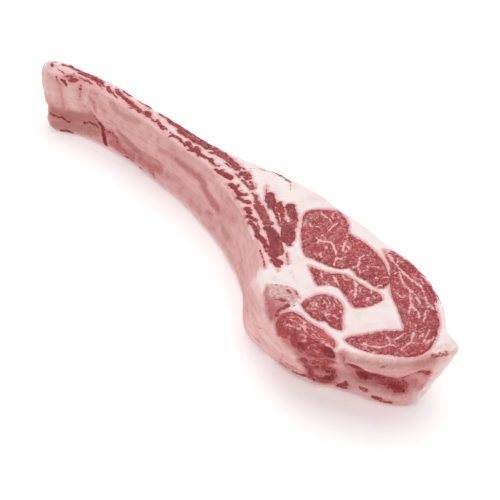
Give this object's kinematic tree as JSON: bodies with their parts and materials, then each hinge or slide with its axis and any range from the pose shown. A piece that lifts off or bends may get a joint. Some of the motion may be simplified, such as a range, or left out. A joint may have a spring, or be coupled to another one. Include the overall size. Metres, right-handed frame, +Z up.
{
  "type": "raw tomahawk steak",
  "caption": "Thick raw rib steak on its long curved rib, lying on a cut face, with marbled muscles set in fat and a bare, skin-covered inner rib side.",
  "frame": {"origin": "middle of the plan outline, on the cut face that the steak rests on", "axes": "+X along the steak from the rib's tip to the eye, +Z up through its thickness, +Y towards the fat-covered outer side"},
  "size_m": [0.4582, 0.1274, 0.0511],
  "materials": {
    "fat": "satin",
    "rib_skin": "moist satin",
    "cut_bone": "matte",
    "lean": "moist satin",
    "dark_lean": "moist satin",
    "bloody_lean": "moist satin"
  },
  "bodies": {
    "root": {"fat": "fat", "rib_bone": "rib_skin", "rib_head_bone": "cut_bone", "eye_muscle": "lean", "lower_eye_muscle": "lean", "cap_muscle": "lean", "round_muscle": "lean", "wedge_muscle": "lean", "small_wedge_muscle": "lean", "outer_rib_muscle": "dark_lean", "upper_rib_muscle": "dark_lean", "lower_rib_muscle": "dark_lean", "chine_muscle": "bloody_lean", "under_muscle": "bloody_lean"}
  },
  "joints": []
}
